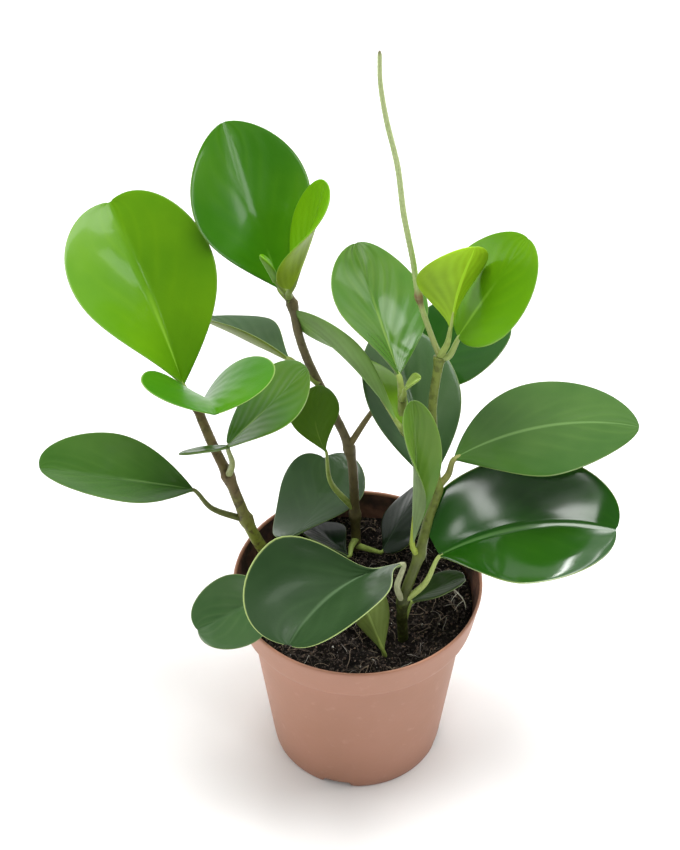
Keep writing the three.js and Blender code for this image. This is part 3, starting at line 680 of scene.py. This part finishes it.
# Points of a blade's middle surface, row by row, each with its t, its s and half the blade's
# width there: t runs from base to tip, and s from -1 at the right margin to 1 at the left.
def middle_surface(leaf, ribs, shares, columns, seed):
    cup = math.radians(leaf["cup"])
    middle = []
    for (point, along, left, up), t in zip(ribs, shares):
        fold = math.radians(lerp(leaf["fold"], leaf["fold_end"], t))
        for j in range(columns + 1):
            s = math.sin(math.pi / 2 * (2 * j / columns - 1))
            side = (s > 0) - (s < 0)
            away = abs(s)
            outline = outline_at(leaf, t, side)
            half = leaf["width"] / 2 * outline
            across = math.sin(cup * away) / cup
            lift = (1 - math.cos(cup * away)) / cup
            p = point + left * (half * side * (math.cos(fold) * across - math.sin(fold) * lift))
            p += up * (half * (math.sin(fold) * across + math.cos(fold) * lift))
            p += along * (leaf["notch"] * leaf["length"] * outline * t ** 4 * away ** 2)
            place = Vector((t * 2.3, s * 1.4, seed))
            p += up * (WAVE_HEIGHT * noise.noise(place) * away * min(1, half / 8))
            middle.append((p, t, s, half))
    return middle


# Half the blade's thickness, less the midrib's groove above or with its ridge below
def half_thickness(t, s, half, face):
    thick = HALF_THICKNESS * max(0.0, 1 - abs(s) ** 5) ** 0.5 + EDGE_THICKNESS
    thick *= min(1, 0.4 + 6 * (1 - t))
    groove = GROOVE_DEPTH * math.exp(-(s * half / GROOVE_WIDTH) ** 2) * (1 - t) ** 0.5
    return thick + groove * (-1 if face == 1 else 1.6)


def blade_mesh(leaf, points, faces, slots, uvs, seed):
    rows, columns = LARGE_GRID if leaf["length"] > LARGE_LEAF else SMALL_GRID
    # The rows lie closer together towards both ends.
    places = [(1 - math.cos(math.pi * i / rows)) / 2 for i in range(rows + 1)]
    shares = [lerp(BLADE_START, BLADE_END, place) for place in places]
    ribs = rib_line(leaf, shares)
    middle = middle_surface(leaf, ribs, shares, columns, seed)
    wide = columns + 1

    def here(row, column):
        return middle[min(max(row, 0), rows) * wide + min(max(column, 0), columns)][0]

    normals = []
    for i in range(rows + 1):
        for j in range(wide):
            across = here(i, j + 1) - here(i, j - 1)
            ahead = here(i + 1, j) - here(i - 1, j)
            normal = ahead.cross(across)
            normals.append(normal.normalized() if normal.length > 1e-9 else ribs[i][3])
    start = len(points)
    for face in (1, -1):
        for (p, t, s, half), normal in zip(middle, normals):
            points.append(p + normal * (face * half_thickness(t, s, half, face)))
            uvs.append((t, 0.5 + s / 2))
    count = len(middle)
    for i in range(rows):
        for j in range(columns):
            a = start + i * wide + j
            quad = (a, a + 1, a + 1 + wide, a + wide)
            faces.append(tuple(reversed(quad)))
            slots.append(0)
            faces.append(tuple(k + count for k in quad))
            slots.append(1)
    rim = [start + j for j in range(columns)]
    rim += [start + i * wide + columns for i in range(rows)]
    rim += [start + rows * wide + j for j in range(columns, 0, -1)]
    rim += [start + i * wide for i in range(rows, 0, -1)]
    for k, a in enumerate(rim):
        b = rim[(k + 1) % len(rim)]
        faces.append((a, b, b + count, a + count))
        slots.append(0)


def petiole_mesh(leaf, points, faces, slots, uvs):
    rib = rib_line(leaf, [PETIOLE_REACH * k / 5 for k in range(6)])
    under = [point - up * (0.5 if k else 0.1) for k, (point, _, _, up) in enumerate(rib)]
    path = [*leaf["petiole"], *[tuple(p) for p in under]]
    centres = smooth_path(path, PETIOLE_STEP)
    before = len(faces)

    def radius_at(share, turn, _):
        return lerp(*PETIOLE_RADII, share ** 1.2) * (1 + 0.06 * math.cos(2 * turn))

    sweep_tube(centres, radius_at, PETIOLE_SIDES, points, faces, uvs)
    slots.extend([2] * (len(faces) - before))


def make_leaf(index, name):
    leaf = leaf_values(LEAVES[name])
    shade, underside, strength, roughness = LOOKS[name]
    dark, light = SHADES[shade]
    under = UNDERSIDES[underside]
    stalk = PETIOLE_COLOURS.get(name, PLAIN_PETIOLE)
    stalk_foot = tuple(0.75 * c for c in stalk)
    foot = leaf["petiole"][0][2]
    fade = (foot, foot + PETIOLE_FADE)
    materials = [
        leaf_top_material(name, dark, light, strength, roughness),
        leaf_back_material(name, under),
        stalk_material("petiole_%s" % name, stalk_foot, stalk, *fade, PETIOLE_FRECKLES),
    ]
    points, faces, slots, uvs = [], [], [], []
    seed = WAVE_SEED_STEP * index
    blade_mesh(leaf, points, faces, slots, uvs, seed)
    petiole_mesh(leaf, points, faces, slots, uvs)
    if name in SIDE_LOBES:
        blade_mesh(leaf_values(SIDE_LOBES[name]), points, faces, slots, uvs, seed + 1)
    piece = mesh_object("fine_leaf_%s" % name, points, faces, materials, slots, uvs)
    settle(piece, slot_of["leaf_%s" % name], "leaf_%s" % name)


# Stems and spike

# The nodes' shares of a path's length, and that length
def node_shares(path, nodes):
    centres = smooth_path(path, 1.0)
    lengths = running_lengths(centres)
    shares = []
    for node in nodes:
        place = min(range(len(centres)), key=lambda k: (centres[k] - Vector(path[node])).length)
        shares.append(lengths[place] / lengths[-1])
    return shares, lengths[-1]


# A stem is swollen at its nodes, with the scar of a leaf as a fine ring above each.
def make_stem(name, material):
    points, faces = [], []
    for k, stem in enumerate(STEMS[name]):
        shares, length = node_shares(stem["path"], stem["nodes"])

        def radius_at(share, turn, centre):
            radius = lerp(stem["foot"], stem["top"], share)
            for place in shares:
                past = (share - place) * length
                radius += NODE_SWELL * math.exp(-(past / NODE_LENGTH) ** 2)
                radius += SCAR_SWELL * math.exp(-(past / SCAR_LENGTH - 1.5) ** 2)
            radius += STEM_DENTS * noise.noise(centre * 0.35 + Vector((*polar(1, turn), k)))
            return radius + STEM_GRAIN * noise.noise(centre * 1.1 + Vector((*polar(3, turn), 9)))

        sweep_tube(smooth_path(stem["path"], STEM_STEP), radius_at, STEM_SIDES, points, faces)
    piece = mesh_object("fine_%s" % name, points, faces, [material])
    settle(piece, slot_of[name], name)


def spike_material():
    material, tree, shader = new_material("spike_skin", 0.5)
    vector = object_vector(tree)
    height = separate(tree, vector)[2]
    ramp = add(tree, "ShaderNodeValToRGB")
    share = map_range(tree, height, SPIKE_COLOUR_FOOT * MM, SPIKE_COLOUR_TOP * MM)
    tree.links.new(share, ramp.inputs[0])
    stops = ramp.color_ramp.elements
    while len(stops) < len(SPIKE_COLOURS):
        stops.new(0.5)
    for stop, (place, _) in zip(stops, SPIKE_COLOURS):
        stop.position = place
    for stop, (_, colour) in zip(stops, SPIKE_COLOURS):
        stop.color = rgba(colour)
    spots = times(tree, noise_value(tree, vector, 700, 2, 0.45, 0.65), 0.35)
    colour = mix_colour(tree, spots, ramp.outputs[0], rgba(SPIKE_SPOTS))
    tree.links.new(colour, shader.inputs["Base Color"])
    bump(tree, shader, noise_value(tree, vector, 1500, 2, 0.2, 0.8), 0.5, 0.0003)
    return material


# The stalk of the spike is smooth up to its node, and rows of fine grains cover the rest.
def make_spike():
    points, faces = [], []
    (base,), length = node_shares(SPIKE_PATH, [SPIKE_NODE])

    def radius_at(share, turn, centre):
        body = lerp(*SPIKE_RADII, share ** 4)
        node = SPIKE_NODE_SWELL * math.exp(-((share - base) * length / SPIKE_NODE_LENGTH) ** 2)
        grains = 0.0
        if share > base + 0.03:
            row = share * length / GRAIN_ROW
            around = math.sin(GRAINS_AROUND * turn + math.pi * math.floor(row))
            grains = GRAIN_HEIGHT * math.sin(2 * math.pi * row) * around
            grains += GRAIN_HEIGHT / 2 * noise.noise(centre * 2.2)
        past = max(0.0, (share - SPIKE_TIP_START) / (1 - SPIKE_TIP_START))
        return (body + node + grains) * math.sqrt(max(0.04, 1 - past ** 2))

    sweep_tube(smooth_path(SPIKE_PATH, SPIKE_STEP), radius_at, SPIKE_SIDES, points, faces)
    piece = mesh_object("fine_flower_spike", points, faces, [spike_material()])
    settle(piece, slot_of["flower_spike"], "flower_spike")


# Pot

# Radius and height of the pot's section, from the middle of its underside over the lip and in
def pot_profile():
    shoulder = COLLAR_BOTTOM - COLLAR_SLOPE
    lip = POT_HEIGHT - LIP_HEIGHT
    outside = [(0, 0), (FOOT_RADIUS - 6, 0), (FOOT_RADIUS - FOOT_ROUNDING, 0),
               (FOOT_RADIUS - 0.4, 0.35), (FOOT_RADIUS, FOOT_ROUNDING)]
    for k in range(1, 25):
        z = lerp(FOOT_ROUNDING, shoulder - 0.3, k / 24)
        outside.append((lerp(FOOT_RADIUS, BODY_TOP_RADIUS, z / shoulder), z))
    outside += [(BODY_TOP_RADIUS + 0.4, shoulder + 0.05), (COLLAR_RADIUS - 0.5, COLLAR_BOTTOM - 0.25),
                (COLLAR_RADIUS, COLLAR_BOTTOM + 0.3)]
    for k in range(1, 9):
        z = lerp(COLLAR_BOTTOM + 0.3, lip, k / 8)
        share = (z - COLLAR_BOTTOM) / (lip - COLLAR_BOTTOM)
        outside.append((lerp(COLLAR_RADIUS, RIM_RADIUS, share), z))
    outside += [(RIM_RADIUS, POT_HEIGHT - 0.8), (RIM_RADIUS - 0.25, POT_HEIGHT - 0.2),
                (RIM_RADIUS - 0.7, POT_HEIGHT), (RIM_RADIUS - 1.2, POT_HEIGHT - 0.25),
                (RIM_RADIUS - 1.45, POT_HEIGHT - 0.9)]
    inside = [(RIM_RADIUS - 1.5 - 0.18 * k, POT_HEIGHT - 1.5 - k) for k in range(0, 16, 2)]
    inside += [(COLLAR_RADIUS - WALL, COLLAR_BOTTOM + 1.2),
               (BODY_TOP_RADIUS - WALL, COLLAR_BOTTOM - 0.4)]
    for k in range(1, 9):
        radius = lerp(BODY_TOP_RADIUS, FOOT_RADIUS, k / 8) - WALL
        inside.append((radius, lerp(COLLAR_BOTTOM - 1, POT_FLOOR, k / 8)))
    inside += [(20, POT_FLOOR), (0, POT_FLOOR)]
    return outside + inside


# The height of a point of the pot, lifted where one of the foot's notches is
def notched(radius, z, turn):
    if z >= NOTCH_HEIGHT or radius <= FOOT_RADIUS - FOOT_RING_WIDTH:
        return z
    lifted = z
    for k in range(NOTCH_COUNT):
        heading = math.radians(NOTCH_HEADING + 360 / NOTCH_COUNT * k)
        away = abs((turn - heading + math.pi) % (2 * math.pi) - math.pi) * FOOT_RADIUS
        blend = min(1, max(0, (NOTCH_HALF_WIDTH + 0.8 - away) / 1.6))
        blend = blend * blend * (3 - 2 * blend)
        lifted = max(lifted, lerp(z, NOTCH_HEIGHT + 0.02 * z, blend))
    return lifted


def pot_outer_material():
    material, tree, shader = new_material("pot_plastic", 0.46)
    vector = object_vector(tree)
    low, high = POT_COLOURS
    colour = mix_colour(tree, noise_value(tree, vector, 22, 4, 0.3, 0.7), rgba(low), rgba(high))
    scuffs = times(tree, noise_value(tree, vector, 180, 5, 0.62, 0.75), 0.25)
    colour = mix_colour(tree, scuffs, colour, rgba(SCUFF_COLOUR))
    # Painted shade: a dark band in the crease under the collar
    rise = map_range(tree, separate(tree, vector)[2], COLLAR_SHADE_BOTTOM * MM, COLLAR_SHADE_TOP * MM, -1, 1)
    collar_shade = math_node(tree, "SUBTRACT", 1.0, math_node(tree, "ABSOLUTE", rise))
    colour = mix_colour(tree, times(tree, collar_shade, 0.14), colour, rgba(COLLAR_SHADE_COLOUR))
    tree.links.new(colour, shader.inputs["Base Color"])
    bump(tree, shader, noise_value(tree, vector, 380, 3, 0.2, 0.8), 0.25, 0.0002)
    return material


def pot_inside_material():
    material, tree, shader = new_material("pot_inside", 0.55)
    vector = object_vector(tree)
    # Painted shade of the pot's hollow, mixed at random with darker patches
    shaded_plastic, darker_patches = POT_INSIDE_COLOURS
    colour = mix_colour(tree, noise_value(tree, vector, 90, 5, 0.42, 0.6), rgba(shaded_plastic), rgba(darker_patches))
    tree.links.new(colour, shader.inputs["Base Color"])
    bump(tree, shader, noise_value(tree, vector, 300, 4, 0.3, 0.7), 0.4, 0.0005)
    return material


def make_pot():
    profile = pot_profile()
    lip = next(k for k, (_, z) in enumerate(profile) if z == POT_HEIGHT)
    points, faces, slots, rows = [], [], [], []
    for radius, z in profile:
        first = len(points)
        for j in range(POT_SIDES if radius else 1):
            turn = 2 * math.pi * j / POT_SIDES
            points.append(Vector((*polar(radius, turn), notched(radius, z, turn))))
        rows.append(range(first, len(points)))
    for k, (lower, upper) in enumerate(zip(rows, rows[1:])):
        for j in range(POT_SIDES):
            n = (j + 1) % POT_SIDES
            if len(lower) == 1:
                faces.append((lower[0], upper[n], upper[j]))
            elif len(upper) == 1:
                faces.append((lower[j], lower[n], upper[0]))
            else:
                faces.append((lower[j], lower[n], upper[n], upper[j]))
            slots.append(1 if k >= lip + 3 else 0)
    materials = [pot_outer_material(), pot_inside_material()]
    settle(mesh_object("fine_pot", points, faces, materials, slots), "pot", "pot")


# Soil

# The wavy top of the soil solid, as in the part's source
def soil_height(x, y):
    wave = math.sin(0.17 * x + 1) * math.cos(0.14 * y) + 0.6 * math.sin(0.31 * y + 0.2 * x)
    return SOIL_TOP + SOIL_WAVE * wave


# The same top with lumps, crumbs and fine grains, which fade out towards the pot
def soil_surface(x, y):
    place = Vector((x, y, 0))
    lumps = 1.3 * noise.noise(place * 0.16) + 0.9 * noise.noise(place * 0.42 + Vector((7, 3, 1)))
    crumbs = 0.7 * abs(noise.noise(place * 0.95 + Vector((2, 9, 4))))
    grains = 0.35 * noise.noise(place * 2.3)
    fade = min(1, (SOIL_RADIUS - math.hypot(x, y)) / SOIL_FADE)
    return soil_height(x, y) + fade * (lumps + crumbs + grains)


def soil_material():
    material, tree, shader = new_material("soil_crumbs", 0.92)
    vector = object_vector(tree)
    dark, light = SOIL_COLOURS
    colour = mix_colour(tree, noise_value(tree, vector, 420, 5), rgba(dark), rgba(light))
    grit = noise_value(tree, vector, 620, 3, 0.63, 0.70)
    colour = mix_colour(tree, grit, colour, rgba(GRIT_COLOUR))
    tree.links.new(colour, shader.inputs["Base Color"])
    shader.inputs["Specular IOR Level"].default_value = 0.12
    bump(tree, shader, noise_value(tree, vector, 800, 5, 0.2, 0.8), 0.8, 0.0012)
    return material


# Rings of points from the middle out and down the wall. Every other ring of the surface is
# turned by half a step, so that its points don't line up in spokes.
def make_soil():
    points = [Vector((0, 0, soil_surface(0, 0)))]
    faces = [(0, 1 + j, 1 + (j + 1) % SOIL_SIDES) for j in range(SOIL_SIDES)]
    for i in range(1, SOIL_RINGS + 1):
        for j in range(SOIL_SIDES):
            turn = 2 * math.pi * (j + 0.5 * (i % 2)) / SOIL_SIDES
            x, y = polar(SOIL_RADIUS * i / SOIL_RINGS, turn)
            z = soil_surface(x, y) if i < SOIL_RINGS else SOIL_TOP - 1
            points.append(Vector((x, y, z)))
    for radius, z in SOIL_WALL:
        for j in range(SOIL_SIDES):
            turn = 2 * math.pi * (j + 0.5 * (SOIL_RINGS % 2)) / SOIL_SIDES
            points.append(Vector((*polar(radius, turn), z)))
    rings = range(1, len(points), SOIL_SIDES)
    for inner, outer in zip(rings, rings[1:]):
        for j in range(SOIL_SIDES):
            n = (j + 1) % SOIL_SIDES
            faces.append((inner + j, outer + j, outer + n, inner + n))
    faces.append(tuple(reversed(range(rings[-1], len(points)))))
    settle(mesh_object("fine_soil", points, faces, [soil_material()]), "soil", "soil")


# Six points along the axes, and the eight faces between them
CRUMB_POINTS = [(1, 0, 0), (-1, 0, 0), (0, 1, 0), (0, -1, 0), (0, 0, 1), (0, 0, -1)]
CRUMB_FACES = [(0, 2, 4), (2, 1, 4), (1, 3, 4), (3, 0, 4), (2, 0, 5), (1, 2, 5), (3, 1, 5), (0, 3, 5)]


def crumb(points, faces, centre, size, draw):
    start = len(points)
    angle = draw.uniform(0, 6.28)
    axis = Vector([draw.uniform(-1, 1) for _ in range(3)]).normalized()
    turn = Matrix.Rotation(angle, 3, axis)
    for corner in CRUMB_POINTS:
        points.append(centre + turn @ (Vector(corner) * size * draw.uniform(0.5, 1.2)))
    faces.extend(tuple(start + k for k in face) for face in CRUMB_FACES)


def clear_of_stems(x, y):
    return all(math.hypot(x - a, y - b) > HOLE_CLEARANCE for a, b in SOIL_HOLES)


# A random place on the soil, away from the stems
def spot(draw, reach):
    while True:
        radius = reach * math.sqrt(draw.random())
        x, y = polar(radius, draw.uniform(0, 2 * math.pi))
        if clear_of_stems(x, y):
            return x, y


def make_crumbs():
    draw = random.Random(CRUMB_SEED)
    for name, count, (small, large), dark, light, roughness in CRUMBS:
        points, faces = [], []
        for _ in range(count):
            x, y = spot(draw, SOIL_RADIUS - 1.5)
            size = lerp(small, large, draw.random() ** 2)
            centre = Vector((x, y, soil_surface(x, y) + 0.3 * size))
            crumb(points, faces, centre, size, draw)
        material = mottled_material(name, roughness, (dark, light), 500, 1500, 0.4, 0.0003)
        settle(mesh_object(name, points, faces, [material], smooth=False), "soil")


# A fibre that lies on the soil, bends and may arch up a little
def fibre_path(draw, length, lift):
    x, y = spot(draw, SOIL_RADIUS - 5)
    heading = draw.uniform(0, 2 * math.pi)
    bend = draw.uniform(-1.2, 1.2)
    count = 7
    path = []
    for k in range(count):
        if math.hypot(x, y) > SOIL_RADIUS - 2:
            break
        arch = lift * math.sin(math.pi * k / (count - 1))
        path.append((x, y, soil_surface(x, y) + 0.25 + arch))
        x += length / count * math.cos(heading)
        y += length / count * math.sin(heading)
        heading += bend / count + draw.uniform(-0.35, 0.35)
    return path


def make_fibres():
    draw = random.Random(FIBRE_SEED)
    for name, count, lengths, radii, dark, light in FIBRES:
        points, faces = [], []
        for _ in range(count):
            path = fibre_path(draw, draw.uniform(*lengths), draw.uniform(0, 2.2))
            radius = draw.uniform(*radii)
            if len(path) < 3:
                continue
            taper(path, 0.8, radius, 0.4 * radius, 5, points, faces)
        material = mottled_material(name, 0.85, (dark, light), 260, 1800, 0.4, 0.0002)
        settle(mesh_object(name, points, faces, [material]), "soil")


# The pale root that lies free on the soil beside the front stem
def make_root():
    points, faces = [], []
    taper(ROOT_PATH, 0.6, 0.5, 0.2, 7, points, faces)
    for (x, y, z), lean in zip(ROOT_PATH[1:], TWIG_LEANS):
        twig = [(x, y, z), (x + 3 * lean, y - 2, z - 0.6), (x + 5 * lean, y - 4.5, z - 2)]
        taper(twig, 0.7, 0.22, 0.1, 5, points, faces)
    material = mottled_material("pale_root", 0.6, ROOT_COLOURS, 400, 1500, 0.3, 0.0002)
    settle(mesh_object("pale_root", points, faces, [material]), "soil")


# Floor, lights and camera

def make_floor():
    half = PAPER_HALF_WIDTH
    corners = [(-half, -half, 0), (half, -half, 0), (half, half, 0), (-half, half, 0)]
    material, tree, shader = new_material("floor_paper", 0.9)
    white, grey = PAPER_COLOURS
    patches = noise_value(tree, object_vector(tree), 3, 2)
    tree.links.new(mix_colour(tree, patches, rgba(white), rgba(grey)), shader.inputs["Base Color"])
    mesh_object("floor", corners, [(0, 1, 2, 3)], [material], smooth=False)


def area_light(name, place, target, size, watts):
    data = bpy.data.lights.new(name, "AREA")
    data.shape = "RECTANGLE"
    data.size, data.size_y = size
    data.energy = watts
    light = bpy.data.objects.new(name, data)
    light.location = place
    light.rotation_euler = (Vector(target) - Vector(place)).to_track_quat("-Z", "Y").to_euler()
    bpy.context.collection.objects.link(light)


# The studio's white backdrop stands behind, and the room in front is dim.
def make_world():
    world = bpy.data.worlds.new("studio")
    world.use_nodes = True
    tree = world.node_tree
    x, y, z = separate(tree, add(tree, "ShaderNodeTexCoord").outputs["Generated"])
    back = math_node(tree, "ADD", times(tree, y, 0.85), times(tree, x, 0.15))
    back = math_node(tree, "ADD", times(tree, z, 0.65), back)
    strength = map_range(tree, back, 0.1, 1.0, ROOM_STRENGTH, BACKDROP_STRENGTH)
    background = tree.nodes["Background"]
    tree.links.new(strength, background.inputs["Strength"])
    background.inputs["Color"].default_value = (1, 1, 1, 1)
    bpy.context.scene.world = world
    bpy.context.scene.view_settings.view_transform = "Standard"


def make_camera():
    data = bpy.data.cameras.new("camera")
    data.sensor_width = CAMERA_SENSOR
    data.lens = CAMERA_LENS
    camera = bpy.data.objects.new("camera", data)
    camera.location = CAMERA_PLACE
    camera.rotation_euler = (math.radians(CAMERA_TILT), 0, 0)
    bpy.context.collection.objects.link(camera)
    bpy.context.scene.camera = camera


for stem_name, colours in STEM_COLOURS.items():
    make_stem(stem_name, stalk_material("%s_skin" % stem_name, *colours))
make_spike()
for leaf_index, leaf_name in enumerate(LEAVES):
    make_leaf(leaf_index, leaf_name)
make_pot()
make_soil()
make_crumbs()
make_fibres()
make_root()
make_floor()
for light_values in LIGHTS:
    area_light(*light_values)
make_world()
make_camera()
